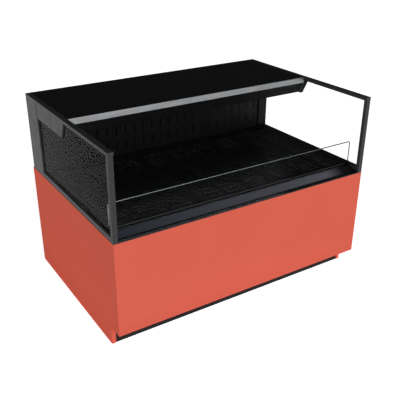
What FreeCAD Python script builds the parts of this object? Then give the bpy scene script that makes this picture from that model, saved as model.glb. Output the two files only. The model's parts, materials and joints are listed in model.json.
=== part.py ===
import FreeCAD, Part
import math
import os

# Low-profile open-front refrigerated display case, 4 ft wide, with glazed ends.
# Frame: origin at the centre of the footprint on the floor, front faces -Y,
# +X to the right as a shopper sees it, +Z up. All values in millimetres.
# Depths are measured back from the front face of the front panel.

os.makedirs("parts", exist_ok=True)
V = FreeCAD.Vector

# ---- whole case ----------------------------------------------------------
caseWidth = 1219.0
caseDepth = 840.0         # base side panels, front face to back edge
caseHeight = 831.0        # floor to the top of the canopy
baseHeight = 486.0        # top of the boarded base
trimHeight = 6.0          # dark line between base and glazed ends
ledgeHeight = 3.0         # front ledge above the base
upperDepth = 827.0        # front face to the back of the glazed body
sheet = 1.5               # folded steel sheet
thinSheet = 1.0           # tub skin and liner
gap = 0.5                 # clearance between pieces that come apart

# ---- base ----------------------------------------------------------------
panelThick = 18.0         # laminated board
panelRound = 0.8          # eased outer edges of the boards
toeHeight = 85.0
toeDepth = 75.0
kickFlange = 8.0
kickLow = 1.0
kickRows = 5
kickRowPitch = 13.0
kickColumns = 10
kickColumnPitch = 116.0
kickSlot = (100.0, 4.5)   # length, height
trayTop = 32.0
trayDepths = (82.0, 824.0)
trayWall = 20.0
postSize = 25.0
postWall = 2.0
postDepths = (84.5, 796.0)
footPadRadius = 19.0
footPadHeight = 9.0
footNutRadius = 9.0
footNutTop = 15.0
footStudRadius = 5.0
footStudTop = 62.0
footFit = 0.06            # radial clearance of a stud in its block
footX = 540.0
footDepths = {"front": 120.0, "rear": 780.0}

# ---- glazed ends ---------------------------------------------------------
frontPostWidth = 20.0     # across the case
frontPostDepth = 17.0
topRailWidth = 23.0
topRailHeight = 13.0
bottomRailWidth = 17.0
bottomRailHeight = 17.0
columnDepth = 132.0       # rear column that hides the air duct's end
glassThick = 6.0
glassInset = 9.0          # outer face of the case to the middle of the glass
gasketThick = 11.0
gasketLip = 5.0

# ---- canopy --------------------------------------------------------------
canopyFront = 398.0
fasciaHeight = 25.0
fasciaThick = 2.0
noseRun = 27.0            # how far the nose slopes back
noseBottom = 755.0
noseThick = 1.6
dischargeDepth = 58.0
dischargeHeight = 16.0
lampDepth = 34.0
lampHeight = 18.0

# ---- deck, ledge and guard -----------------------------------------------
deckTop = 515.0
deckFront = 66.0
deckRailDepth = 20.0
deckThick = 10.0
panCount = 3
slotPitch = 18.0
slotWidth = 5.0
slotLength = 104.0
bearerWidth = 14.0
bearerHeight = 10.0
backPanelDepth = 700.0    # front face to the perforated inner back
backFlange = (30.0, 8.0)  # folded strip up each side of the inner back
ledgeDepth = 31.0
ledgeGroove = 19.5        # depth at which the ledge drops into its drip groove
grilleLow = (26.0, 490.0)
grilleHigh = (63.0, 504.5)
grilleThick = 1.8
grilleSlot = (96.0, 3.0)  # length, width
guardRadius = 2.3
guardInset = 21.5         # leg centre to the outer face of the case
guardDepth = 70.0
guardTop = 614.0
guardBend = 9.0
guardFit = 0.06           # radial clearance of a leg in its socket
guardSeat = 8.0           # how far a leg stands in the front rail
socketRadius = 4.6
socketHeight = 8.0

# ---- tub -----------------------------------------------------------------
tubBottom = 337.0
tubFloor = 373.0
foamEnd = 24.0            # foam thickness at the ends of the tub
tubFront = 19.0
tubRear = 826.0
tubInnerRear = 791.0
pipePlaces = ((500.0, 650.0), (465.0, 650.0))
pipeHole = 8.0
drainPlace = (240.0, 420.0)
drainRadius = 11.0
drainBore = 8.0

# ---- refrigeration machine -----------------------------------------------
shaftFit = 0.05
fanX = -200.0
fanZ = 170.0
coilHalf = 175.0
coilDepths = (130.0, 172.0)
coilHeights = (50.0, 290.0)
shroudBack = 204.0
shroudHole = 112.0
motorDepths = (226.0, 290.0)
compressorPlace = (-200.0, 450.0)
compressorRadius = 92.0
compressorHeights = (62.0, 270.0)
evaporatorX = (-420.0, 430.0)
evaporatorDepths = (450.0, 580.0)
evaporatorHeights = (384.0, 478.0)
evaporatorFans = {"left": -210.0, "right": 210.0}
evaporatorFanZ = 430.0
panX = (80.0, 420.0)
panDepths = (250.0, 600.0)
panHeight = 48.0

# ---- rear of the base ----------------------------------------------------
rearFace = 832.0
serviceEdge = 337.0       # where the service panel meets the control plate
serviceBottom = 34.0
louvreRows = 11
louvreColumns = 6
louvre = (100.0, 7.0)     # length, height
louvrePitch = (128.0, 20.0)
louvreStart = (-500.0, 80.0)
screwHeights = (60.0, 315.0)
controlX = (370.0, 560.0)
controlFront = 728.0
controlHeights = (130.0, 330.0)
switchZ = 262.0
switchPlaces = {"power": 430.0, "light": 480.0}
switchHole = (7.2, 11.8)  # half width, half height
pivotDepth = 828.5
pivotRadius = 1.5
glandPlace = (450.0, 84.0)
glandBore = 5.0

halfW = caseWidth / 2
frontY = -caseDepth / 2
sideInner = halfW - panelThick
sideClear = sideInner - gap
upperInner = halfW - frontPostWidth
upperClear = upperInner - gap
canopyHalf = halfW - topRailWidth
frameBottom = baseHeight + trimHeight
ledgeTop = baseHeight + ledgeHeight
railBottom = caseHeight - topRailHeight
fasciaBottom = caseHeight - fasciaHeight
noseBack = canopyFront + noseRun
columnFront = upperDepth - columnDepth
foamHalf = sideClear - thinSheet
cavityHalf = foamHalf - foamEnd


def fromFront(depth):
    return frontY + depth


# ---- shape helpers -------------------------------------------------------
def block(x0, x1, d0, d1, z0, z1):
    """Box between two X, two depths and two heights."""
    return Part.makeBox(x1 - x0, d1 - d0, z1 - z0, V(x0, fromFront(d0), z0))


def prism(points, x0, x1):
    """Outline of (depth, height) points, extruded along X."""
    corners = [V(x0, fromFront(d), z) for d, z in points]
    wire = Part.makePolygon(corners + corners[:1])
    return Part.Face(wire).extrude(V(x1 - x0, 0, 0))


def cylinderX(radius, x0, x1, d, z):
    return Part.makeCylinder(radius, x1 - x0, V(x0, fromFront(d), z), V(1, 0, 0))


def cylinderY(radius, x, z, d0, d1):
    return Part.makeCylinder(radius, d1 - d0, V(x, fromFront(d0), z), V(0, 1, 0))


def cylinderZ(radius, x, d, z0, z1):
    return Part.makeCylinder(radius, z1 - z0, V(x, fromFront(d), z0), V(0, 0, 1))


def fuse(solids):
    result = solids[0].fuse(solids[1:]) if len(solids) > 1 else solids[0]
    return result.removeSplitter()


def cut(solid, tools):
    return solid.cut(Part.makeCompound(tools))


def openTray(x0, x1, d0, d1, z0, z1, wall):
    """Folded tray with a floor and four walls."""
    outer = block(x0, x1, d0, d1, z0, z1)
    inner = block(x0 + wall, x1 - wall, d0 + wall, d1 - wall, z0 + wall, z1 + 1)
    return outer.cut(inner)


def bentRod(points, radius, bend):
    """Round rod along straight runs joined by tangent arcs."""
    runs = []
    start = points[0]
    for before, corner, after in zip(points, points[1:], points[2:]):
        toBefore = (before - corner).normalize()
        toAfter = (after - corner).normalize()
        half = toBefore.getAngle(toAfter) / 2
        setback = bend / math.tan(half)
        arcStart = corner + toBefore * setback
        arcEnd = corner + toAfter * setback
        middle = (toBefore + toAfter).normalize()
        arcMiddle = corner + middle * (bend / math.sin(half) - bend)
        runs.append(Part.LineSegment(start, arcStart).toShape())
        runs.append(Part.Arc(arcStart, arcMiddle, arcEnd).toShape())
        start = arcEnd
    runs.append(Part.LineSegment(start, points[-1]).toShape())
    path = Part.Wire(runs)
    profile = Part.Wire([Part.makeCircle(radius, points[0], points[1] - points[0])])
    return path.makePipeShell([profile], True, False)


def mirrored(solid):
    return solid.mirror(V(0, 0, 0), V(1, 0, 0))


def pair(solid):
    """A right-hand piece and its left-hand mirror image, as two solids."""
    return Part.makeCompound([mirrored(solid), solid])


def roundEdges(solid, radius, chosen):
    """Fillet of the edges whose bounding box is chosen."""
    return solid.makeFillet(radius, [edge for edge in solid.Edges if chosen(edge.BoundBox)])


nodes = {}


def save(name, shape):
    nodes[name] = shape


# ---- base cabinet --------------------------------------------------------
def sidePanel():
    """Board that stands on the floor, notched for the toe space."""
    front = panelThick + gap
    outline = [(toeDepth, 0), (caseDepth, 0), (caseDepth, baseHeight),
               (front, baseHeight), (front, toeHeight), (toeDepth, toeHeight)]
    board = prism(outline, sideInner, halfW)
    return roundEdges(board, panelRound, lambda box: box.XMin > halfW - 0.1 and box.XLength < 0.1)


def frontPanel():
    """Full-width board that covers the front edges of both side panels."""
    board = block(-halfW, halfW, 0, panelThick, toeHeight, baseHeight)
    return roundEdges(board, panelRound, lambda box: box.YMax < frontY + 0.1)


def toeKick():
    """Black intake grille set back under the front panel."""
    face = toeDepth + 1
    top = toeHeight - 1
    plate = block(-sideClear, sideClear, face, face + sheet, kickLow, top)
    flange = block(-sideClear, sideClear, face, toeDepth + kickFlange, top - sheet, top)
    length, height = kickSlot
    slots = []
    for row in range(kickRows):
        z = 16 + row * kickRowPitch
        for column in range(kickColumns):
            centre = (column - (kickColumns - 1) / 2) * kickColumnPitch
            slots.append(block(centre - length / 2, centre + length / 2, face - 1, face + 3, z, z + height))
    return cut(fuse([plate, flange]), slots)


def footPlaces():
    """Name, X and depth of each levelling foot."""
    sides = {"left": -footX, "right": footX}
    return [(end + "_" + side, x, d) for end, d in footDepths.items() for side, x in sides.items()]


def baseTray():
    """Floor of the machine space, with threaded blocks for the feet."""
    floor = trayTop - sheet
    solids = [openTray(-sideClear, sideClear, trayDepths[0], trayDepths[1], floor, trayTop + trayWall, sheet)]
    holes = []
    for name, x, d in footPlaces():
        solids.append(block(x - 20, x + 20, d - 20, d + 20, 18, floor))
        holes.append(cylinderZ(footStudRadius + footFit, x, d, 10, trayTop + 5))
    return cut(fuse(solids), holes)


def hexagon(x, d, radius, z0, z1):
    angles = [math.radians(60 * k) for k in range(7)]
    corners = [V(x + radius * math.cos(a), fromFront(d) + radius * math.sin(a), z0) for a in angles]
    return Part.Face(Part.makePolygon(corners)).extrude(V(0, 0, z1 - z0))


def levellingFoot(x, d):
    pad = cylinderZ(footPadRadius, x, d, 0, footPadHeight)
    pad = pad.makeChamfer(1.5, [edge for edge in pad.Edges if edge.BoundBox.ZMin > footPadHeight - 0.1])
    nut = hexagon(x, d, footNutRadius, footPadHeight, footNutTop)
    stud = cylinderZ(footStudRadius, x, d, footNutTop, footStudTop)
    return fuse([pad, nut, stud])


def squareTube(x0, d0):
    """Upright square tube from the tray to the tub."""
    outer = block(x0, x0 + postSize, d0, d0 + postSize, trayTop, tubBottom)
    inside = block(x0 + postWall, x0 + postSize - postWall, d0 + postWall, d0 + postSize - postWall,
                   trayTop - 1, tubBottom + 1)
    return outer.cut(inside)


def framePosts():
    """Five upright tubes that carry the tub."""
    edge = sideClear - sheet - gap
    tubes = [squareTube(x0, d0) for x0 in (-edge, edge - postSize) for d0 in postDepths]
    tubes.append(squareTube(serviceEdge - postSize / 2, postDepths[1]))
    return Part.makeCompound(tubes)


def baseTrim():
    """Thin dark strip on the top edge of each side panel."""
    return pair(block(upperInner, halfW - 0.8, panelThick + gap, upperDepth, baseHeight, frameBottom))


# ---- insulated tub -------------------------------------------------------
def tubHoles():
    """Holes through the tub's floor for the two pipes and the drain."""
    low = tubBottom - 5
    high = tubFloor + 5
    holes = [cylinderZ(pipeHole, x, d, low, high) for x, d in pipePlaces]
    return holes + [cylinderZ(drainRadius, drainPlace[0], drainPlace[1], low, high)]


def tubOuter():
    skin = openTray(-sideClear, sideClear, tubFront, tubRear, tubBottom, baseHeight, thinSheet)
    return cut(skin, tubHoles())


def tubInsulation():
    foam = block(-foamHalf, foamHalf, tubFront + thinSheet, tubRear - thinSheet,
                 tubBottom + thinSheet, baseHeight)
    cavity = block(-cavityHalf, cavityHalf, ledgeDepth - thinSheet, tubInnerRear + thinSheet,
                   tubFloor - thinSheet, baseHeight + 1)
    return cut(foam, [cavity] + tubHoles())


def tubLiner():
    liner = openTray(-cavityHalf, cavityHalf, ledgeDepth - thinSheet, tubInnerRear + thinSheet,
                     tubFloor - thinSheet, baseHeight, thinSheet)
    return cut(liner, tubHoles())


# ---- front ledge, return air and guard -----------------------------------
def frontLedge():
    """Folded cap over the front wall, with a drip groove behind its raised front."""
    low = baseHeight + gap
    web = low + 0.9
    back = ledgeDepth + thinSheet
    outline = [(gap, low), (gap, ledgeTop), (ledgeGroove, ledgeTop), (ledgeGroove, web), (back, web), (back, low)]
    cap = prism(outline, -upperClear, upperClear)
    inside = cavityHalf - 2
    skirt = block(-inside, inside, ledgeDepth + 0.3, back, baseHeight - 8, low)
    return fuse([cap, skirt])


def returnAirGrille():
    """Smooth sloping plate with a row of air slots along its upper edge."""
    (d0, z0), (d1, z1) = grilleLow, grilleHigh
    length = math.hypot(d1 - d0, z1 - z0)
    along = ((d1 - d0) / length, (z1 - z0) / length)
    inward = (along[1], -along[0])

    def at(distance, depth):
        return (d0 + along[0] * distance + inward[0] * depth, z0 + along[1] * distance + inward[1] * depth)

    half = upperClear - gap
    plate = prism([at(0, 0), at(length, 0), at(length, grilleThick), at(0, grilleThick)], -half, half)
    slotLong, width = grilleSlot
    end = length - 1.4
    outline = [at(end - width, -1), at(end, -1), at(end, grilleThick + 1), at(end - width, grilleThick + 1)]
    pitch = 2 * half / kickColumns
    centres = [(column - (kickColumns - 1) / 2) * pitch for column in range(kickColumns)]
    return cut(plate, [prism(outline, x - slotLong / 2, x + slotLong / 2) for x in centres])


def deckFrontRail():
    """Fixed nose of the deck and, on it, a welded socket for each leg of the guard."""
    low = deckTop - deckThick - 4
    back = deckFront + deckRailDepth
    outline = [(deckFront, low + 4), (deckFront, deckTop - 1), (deckFront + 1, deckTop),
               (back, deckTop), (back, low), (deckFront + 8, low)]
    rail = prism(outline, -upperClear, upperClear)
    places = [side * (halfW - guardInset) for side in (-1, 1)]
    holes = [cylinderZ(guardRadius + guardFit, x, guardDepth, deckTop - guardSeat - 1, deckTop + 20)
             for x in places]
    sockets = [cylinderZ(socketRadius, x, guardDepth, deckTop, deckTop + socketHeight).cut(hole)
               for x, hole in zip(places, holes)]
    return Part.makeCompound([cut(rail, holes)] + sockets)


def productGuard():
    """One bent chromed rod that stops stock from sliding off the deck."""
    x = halfW - guardInset
    y = fromFront(guardDepth)
    low = deckTop - guardSeat
    return bentRod([V(-x, y, low), V(-x, y, guardTop), V(x, y, guardTop), V(x, y, low)],
                   guardRadius, guardBend)


# ---- deck ----------------------------------------------------------------
panSpan = 2 * upperClear / panCount


def deckBearers():
    """Bars under the ends and the joints of the deck pans."""
    top = deckTop - deckThick - gap
    d0 = deckFront + deckRailDepth
    edges = [-upperClear]
    edges += [-upperClear + joint * panSpan - bearerWidth / 2 for joint in range(1, panCount)]
    edges.append(upperClear - bearerWidth)
    return Part.makeCompound([block(x, x + bearerWidth, d0, backPanelDepth - backFlange[1] - gap,
                                    top - bearerHeight, top) for x in edges])


def deckPan(index):
    """Slotted steel pan with turned-down edges that lifts out."""
    x0 = -upperClear + index * panSpan + gap
    x1 = x0 + panSpan - 2 * gap
    d0 = deckFront + deckRailDepth + gap
    d1 = backPanelDepth - backFlange[1] - gap
    low = deckTop - deckThick
    outer = block(x0, x1, d0, d1, low, deckTop)
    inner = block(x0 + sheet, x1 - sheet, d0 + sheet, d1 - sheet, low - 1, deckTop - sheet)
    margin = 11
    rows = int((d1 - d0 - 2 * margin) / slotPitch) + 1
    middle = (x0 + x1) / 2
    slots = []
    for row in range(rows):
        d = d0 + margin + row * slotPitch
        for column in (-1, 0, 1):
            start = middle + column * (slotLength + 16) - slotLength / 2
            slots.append(block(start, start + slotLength, d, d + slotWidth, deckTop - 3, deckTop + 1))
    return cut(outer.cut(inner), slots)


# ---- rear wall -----------------------------------------------------------
def backPanel():
    """Perforated inner back that lets cold air out of the duct, folded forward at its sides."""
    low = baseHeight + gap
    top = noseBottom - 1 - gap
    width, reach = backFlange
    front = backPanelDepth - reach
    panel = block(-upperClear, upperClear, backPanelDepth, backPanelDepth + sheet, low, top)
    strip = block(upperClear - width, upperClear, front, backPanelDepth, low, top)
    hollow = block(upperClear - width + sheet, upperClear + 1, front + sheet, backPanelDepth, low - 1, top + 1)
    fold = strip.cut(hollow)
    slots = []
    for column in range(24):
        x = (column - 11.5) * 46
        for z in (545, 613, 681):
            slots.append(block(x - 2.5, x + 2.5, backPanelDepth - 1, backPanelDepth + 3, z, z + 40))
    return cut(fuse([panel, fold, mirrored(fold)]), slots)


def rearSheet(d0, d1):
    """Upright slab between the rear columns, stepped in under the top rails."""
    wide = block(-upperClear, upperClear, d0, d1, frameBottom, railBottom - gap)
    inside = canopyHalf - gap
    step = block(-inside, inside, d0, d1, railBottom - gap, caseHeight - 2)
    return fuse([wide, step])


def rearInsulation():
    return rearSheet(tubInnerRear + 1, upperDepth - 2)


def rearOuterSkin():
    return rearSheet(upperDepth - 2, upperDepth)


# ---- canopy --------------------------------------------------------------
def canopyTop():
    return block(-canopyHalf, canopyHalf, canopyFront + fasciaThick, upperDepth, caseHeight - 2, caseHeight)


def canopyFascia():
    """Brushed strip across the canopy's front edge."""
    front = fromFront(canopyFront)
    strip = block(-canopyHalf, canopyHalf, canopyFront, canopyFront + fasciaThick, fasciaBottom, caseHeight)
    return roundEdges(strip, 0.6, lambda box: box.YMax < front + 0.1 and box.XLength > 10)


def canopyNose():
    """Air deflector that slopes back under the fascia."""
    outline = [(canopyFront + 0.4, fasciaBottom), (canopyFront + 0.4 + fasciaThick, fasciaBottom),
               (noseBack + 2, noseBottom + noseThick), (noseBack + 2, noseBottom), (noseBack, noseBottom)]
    return prism(outline, -canopyHalf, canopyHalf)


def canopyInsulation():
    return block(-canopyHalf + gap, canopyHalf - gap, canopyFront + 4, tubInnerRear,
                 fasciaBottom + 1, caseHeight - 2)


def airDischarge():
    """Straightener for the air curtain, a bar pierced with cells."""
    d0 = noseBack + 2
    slab = block(-canopyHalf, canopyHalf, d0, d0 + dischargeDepth, noseBottom, noseBottom + dischargeHeight)
    rows, columns = 3, 20
    cells = []
    for row in range(rows):
        d = d0 + 6 + row * 17
        for column in range(columns):
            x = -canopyHalf + 12 + column * 58.5
            cells.append(block(x, x + 50, d, d + 12, noseBottom - 1, noseBottom + dischargeHeight + 1))
    return cut(slab, cells)


lampFront = noseBack + 2 + dischargeDepth


def ledHousing():
    """Aluminium channel that carries the canopy lamp."""
    outer = block(-canopyHalf, canopyHalf, lampFront, lampFront + lampDepth, noseBottom, noseBottom + lampHeight)
    inner = block(-canopyHalf + 4, canopyHalf - 4, lampFront + 2, lampFront + lampDepth - 2,
                  noseBottom - 1, noseBottom + lampHeight - 2)
    return outer.cut(inner)


def ledDiffuser():
    strip = block(-canopyHalf + 4, canopyHalf - 4, lampFront + 2, lampFront + lampDepth - 2,
                  noseBottom - 1, noseBottom + 5)
    return roundEdges(strip, 1.5, lambda box: box.ZMax < noseBottom - 0.9 and box.XLength > 10)


def canopyLiner():
    return block(-canopyHalf, canopyHalf, lampFront + lampDepth, backPanelDepth + sheet,
                 noseBottom, noseBottom + sheet)


# ---- glazed ends ---------------------------------------------------------
def glassOpening():
    """Corners of the glazed area as (depth, height)."""
    low = frameBottom + bottomRailHeight
    front = frontPostDepth + gap
    high = noseBottom - 1
    return [(front, low), (columnFront, low), (columnFront, high), (noseBack, high),
            (canopyFront, fasciaBottom), (canopyFront, railBottom), (front, railBottom)]


def frontPost():
    post = block(upperInner, halfW, gap, frontPostDepth + gap, baseHeight + gap, railBottom)
    return roundEdges(post, 1.2, lambda box: box.ZLength > 100)


def topRail():
    rail = block(halfW - topRailWidth, halfW, gap, upperDepth, railBottom, caseHeight)
    return roundEdges(rail, 1.0, lambda box: box.YLength > 100)


def bottomRail():
    rail = block(halfW - bottomRailWidth, halfW, frontPostDepth + gap, columnFront,
                 frameBottom, frameBottom + bottomRailHeight)
    return roundEdges(rail, 1.0, lambda box: box.YLength > 100 and box.ZMin > frameBottom + 5)


def rearColumn():
    """Folded cover at the end of the rear duct, with a joint line near its front edge."""
    column = block(upperInner, halfW, columnFront, upperDepth, frameBottom, railBottom)
    column = roundEdges(column, 1.0, lambda box: box.ZLength > 100 and box.XMin > halfW - 0.1)
    joint = block(halfW - 1.5, halfW + 1, columnFront + 5, columnFront + 7.5, frameBottom - 1, caseHeight)
    return column.cut(joint)


def canopyEndCap():
    """Plate that closes the canopy's end between the top rail and the glass."""
    low = noseBottom - 1
    outline = [(canopyFront, railBottom), (canopyFront, fasciaBottom), (noseBack, low),
               (columnFront, low), (columnFront, railBottom)]
    return prism(outline, canopyHalf + gap, halfW - 0.4)


def insetOpening(distance, x0, x1):
    corners = [V(x0, fromFront(d), z) for d, z in glassOpening()]
    wire = Part.makePolygon(corners + corners[:1])
    face = Part.Face(wire)
    if distance:
        face = Part.Face(wire).makeOffset2D(-distance)
    return face.extrude(V(x1 - x0, 0, 0))


def endGlass():
    middle = halfW - glassInset
    return insetOpening(1.0, middle - glassThick / 2, middle + glassThick / 2)


def glazingGasket():
    """Black rubber channel all round the end glass."""
    x0 = halfW - glassInset - gasketThick / 2
    x1 = x0 + gasketThick
    channel = insetOpening(0, x0, x1).cut(insetOpening(gasketLip, x0 - 1, x1 + 1))
    return channel.cut(endGlass())


# ---- refrigeration machine -----------------------------------------------
def compressor():
    """Hollow welded shell on a base plate with four rubber mounts and a terminal box."""
    x, d = compressorPlace
    z0, z1 = compressorHeights
    wall = 8
    shell = cylinderZ(compressorRadius, x, d, z0, z1)
    shell = shell.makeFillet(38, [edge for edge in shell.Edges if edge.BoundBox.ZLength < 1])
    core = cylinderZ(compressorRadius - wall, x, d, z0 + wall, z1 - wall)
    core = core.makeFillet(34, [edge for edge in core.Edges if edge.BoundBox.ZLength < 1])
    plate = block(x - 105, x + 105, d - 80, d + 80, 50, 56)
    skirt = cylinderZ(60, x, d, 56, 72)
    mounts = [cylinderZ(14, x + 88 * sx, d + 64 * sd, trayTop, 50) for sx in (-1, 1) for sd in (-1, 1)]
    terminals = block(x + 70, x + 122, d - 30, d + 30, 130, 200)
    return fuse([shell, plate, skirt, terminals] + mounts).cut(core)


def condenserCoil():
    """Finned block on two legs; each groove stands for a group of fins."""
    d0, d1 = coilDepths
    z0, z1 = coilHeights
    pack = block(fanX - coilHalf, fanX + coilHalf, d0, d1, z0, z1)
    left = fanX - coilHalf + 9
    grooves = [block(left + 8 * k, left + 8 * k + 5, d0 - 1, d1 - 8, z0 + 8, z1 - 8) for k in range(42)]
    legs = [block(fanX + 170 * side - 5, fanX + 170 * side + 5, d0 + 5, d1 - 7, trayTop, z0) for side in (-1, 1)]
    return cut(fuse([pack] + legs), grooves)


def fanShroud():
    """Sheet box, open to the coil, with a round hole for the fan."""
    d0 = coilDepths[1]
    z0, z1 = coilHeights
    outer = block(fanX - coilHalf, fanX + coilHalf, d0, shroudBack, z0, z1)
    inner = block(fanX - coilHalf + sheet, fanX + coilHalf - sheet, d0 - 1, shroudBack - sheet,
                  z0 + sheet, z1 - sheet)
    return outer.cut(inner).cut(cylinderY(shroudHole, fanX, fanZ, d0 - 2, shroudBack + 6))


def motorOnFoot(x, z, depths, radius, bore, post, foot, floor, footHeight):
    """Motor can along Y on a post and a flat foot, bored for the fan's shaft."""
    d0, d1 = depths
    can = cylinderY(radius, x, z, d0, d1)
    middle = (d0 + d1) / 2
    stand = block(x - post, x + post, middle - 1.2 * post, middle + 1.2 * post, floor + footHeight, z - radius * 0.7)
    base = block(x - foot, x + foot, middle - 1.6 * post, middle + 1.6 * post, floor, floor + footHeight)
    return fuse([can, stand, base]).cut(cylinderY(bore + shaftFit, x, z, d0 - 1, d0 + (d1 - d0) * 0.56))


def condenserFanMotor():
    return motorOnFoot(fanX, fanZ, motorDepths, 40, 5, 15, 40, trayTop, 6)


def evaporatorFanMotors():
    return Part.makeCompound([motorOnFoot(x, evaporatorFanZ, (652, 690), 22, 3, 8, 24, tubFloor, 3)
                              for x in evaporatorFans.values()])


def fanBlade(x, z, d0, hubRadius, tipRadius, shaftRadius, shaftEnd, count):
    """Hub, pitched blades and the shaft they are pressed on."""
    hubLength = 18
    hub = cylinderY(hubRadius, x, z, d0, d0 + hubLength)
    centre = V(x, fromFront(d0 + hubLength / 2), z)
    disc = cylinderY(tipRadius, x, z, d0 - 12, d0 + 30)
    chord = tipRadius * 0.62
    blades = []
    for k in range(count):
        root = V(x + hubRadius - 4, fromFront(d0 + 8), z - chord / 2)
        blade = Part.makeBox(tipRadius - hubRadius + 4, 1.6, chord, root)
        blade.rotate(centre, V(1, 0, 0), 24)
        blade.rotate(centre, V(0, 1, 0), 360.0 * k / count)
        blades.append(blade.common(disc))
    shaft = cylinderY(shaftRadius, x, z, d0 + hubLength, shaftEnd)
    return fuse([hub, shaft] + blades)


def refrigerantLines():
    """Copper suction and liquid lines, each one bent tube."""
    def route(points):
        return [V(x, fromFront(d), z) for x, d, z in points]
    suction = bentRod(route([(-120, 500, 281), (-120, 560, 281), (300, 560, 281), (500, 650, 281),
                             (500, 650, 440), (440, 560, 440)]), 6.0, 22.0)
    liquid = bentRod(route([(-18, 152, 90), (40, 152, 90), (40, 660, 90), (465, 650, 90),
                            (465, 650, 420), (440, 520, 420)]), 4.0, 20.0)
    return Part.makeCompound([suction, liquid])


def evaporatorCoil():
    """Finned block on two feet under the deck."""
    x0, x1 = evaporatorX
    d0, d1 = evaporatorDepths
    z0, z1 = evaporatorHeights
    pack = block(x0, x1, d0, d1, z0, z1)
    grooves = [block(x0 + 12 + 12 * k, x0 + 18 + 12 * k, d0 - 1, d1 - 10, z0 - 5, z1 - 6) for k in range(69)]
    feet = [block(x, x + 10, d0 + 20, d1 - 20, tubFloor, z0) for x in (x0 + 5, x1 - 15)]
    return fuse([cut(pack, grooves)] + feet)


def condensatePan():
    return openTray(panX[0], panX[1], panDepths[0], panDepths[1], trayTop, trayTop + panHeight, sheet)


def drainTube():
    x, d = drainPlace
    flange = cylinderZ(18, x, d, tubFloor, tubFloor + 2)
    tube = cylinderZ(drainRadius, x, d, 100, tubFloor + 1)
    return fuse([flange, tube]).cut(cylinderZ(drainBore, x, d, 90, tubFloor + 5))


# ---- rear of the base ----------------------------------------------------
def servicePanel():
    """Louvred cover over the machine space."""
    panel = block(-sideClear, serviceEdge - gap, rearFace, rearFace + sheet, serviceBottom, baseHeight - 1)
    length, height = louvre
    openings = [cylinderY(2.6, x, z, rearFace - 1, rearFace + 3) for x, z in screwPlaces()]
    for row in range(louvreRows):
        z = louvreStart[1] + row * louvrePitch[1]
        for column in range(louvreColumns):
            x = louvreStart[0] + column * louvrePitch[0]
            openings.append(block(x, x + length, rearFace - 1, rearFace + 3, z, z + height))
    return cut(panel, openings)


def screwPlaces():
    left = -sideClear + 13.5
    right = serviceEdge - 4.5
    return [(x, z) for x in (left, right) for z in screwHeights]


def servicePanelScrews():
    """Button-head screws with a socket, through the panel into the frame."""
    face = rearFace + sheet
    screws = []
    for x, z in screwPlaces():
        head = cylinderY(4.6, x, z, face, face + 2.8)
        crown = fromFront(face + 2.7)
        head = head.makeFillet(1.2, [edge for edge in head.Edges if edge.BoundBox.YMin > crown])
        shank = cylinderY(2.5, x, z, rearFace - 9, face)
        screws.append(fuse([head, shank]).cut(cylinderY(1.6, x, z, face + 1, face + 4)))
    return Part.makeCompound(screws)


def controlPlate():
    """Face plate with the switch openings, the rockers' lugs and the gland's hole."""
    plate = block(serviceEdge + gap, sideClear, rearFace, rearFace + sheet, serviceBottom, baseHeight - 1)
    halfWidth, halfHeight = switchHole
    lugs = []
    holes = []
    for x in switchPlaces.values():
        for side in (-1, 1):
            edges = sorted((x + side * halfWidth, x + side * (halfWidth + 2.2)))
            lugs.append(block(edges[0], edges[1], pivotDepth - 4, rearFace, switchZ - 4, switchZ + 4))
        holes.append(block(x - halfWidth, x + halfWidth, rearFace - 2, rearFace + 3,
                           switchZ - halfHeight, switchZ + halfHeight))
        holes.append(cylinderX(pivotRadius + shaftFit, x - 12, x + 12, pivotDepth, switchZ))
    x, z = glandPlace
    holes.append(cylinderY(9, x, z, rearFace - 2, rearFace + 3))
    return cut(fuse([plate] + lugs), holes)


def controlBox():
    """Face plate and, behind it, the open-backed electrical box, as two solids."""
    x0, x1 = controlX
    z0, z1 = controlHeights
    outer = block(x0, x1, controlFront, rearFace, z0, z1)
    inner = block(x0 + sheet, x1 - sheet, controlFront + sheet, rearFace, z0 + sheet, z1 - sheet)
    return Part.makeCompound([controlPlate(), outer.cut(inner)])


def rockerSwitch(x):
    """Rocker on its axle, pressed in at its lower half when the circuit is on."""
    outline = [(-3, -8), (-3, 8), (8.2, 10), (6.6, 0), (8.2, -10)]
    cap = prism([(pivotDepth + d, switchZ + z) for d, z in outline], x - 6.5, x + 6.5)
    axle = cylinderX(pivotRadius, x - 9, x + 9, pivotDepth, switchZ)
    rocker = fuse([cap, axle])
    rocker.rotate(V(x, fromFront(pivotDepth), switchZ), V(1, 0, 0), -9)
    return rocker


def cordGland():
    """Flanged gland for the supply cord."""
    x, z = glandPlace
    face = rearFace + sheet
    flange = cylinderY(13, x, z, face, face + 5)
    rim = fromFront(face + 4.9)
    flange = flange.makeChamfer(1.5, [edge for edge in flange.Edges if edge.BoundBox.YMin > rim])
    barrel = cylinderY(9, x, z, rearFace - 14, face)
    return fuse([flange, barrel]).cut(cylinderY(glandBore, x, z, rearFace - 20, rearFace + 10))


# ---- assembly ------------------------------------------------------------
def makeBase():
    side = sidePanel()
    save("right_side_panel", side)
    save("left_side_panel", mirrored(side))
    save("front_panel", frontPanel())
    save("toe_kick", toeKick())
    save("base_tray", baseTray())
    save("frame_posts", framePosts())
    for place, x, d in footPlaces():
        save("foot_" + place, levellingFoot(x, d))
    save("base_trim", baseTrim())


def makeTub():
    save("tub_outer", tubOuter())
    save("tub_insulation", tubInsulation())
    save("tub_liner", tubLiner())
    save("front_ledge", frontLedge())
    save("return_air_grille", returnAirGrille())
    save("deck_front_rail", deckFrontRail())
    save("product_guard", productGuard())
    save("deck_bearers", deckBearers())
    for index, name in enumerate(("left", "middle", "right")):
        save("deck_pan_" + name, deckPan(index))


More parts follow.
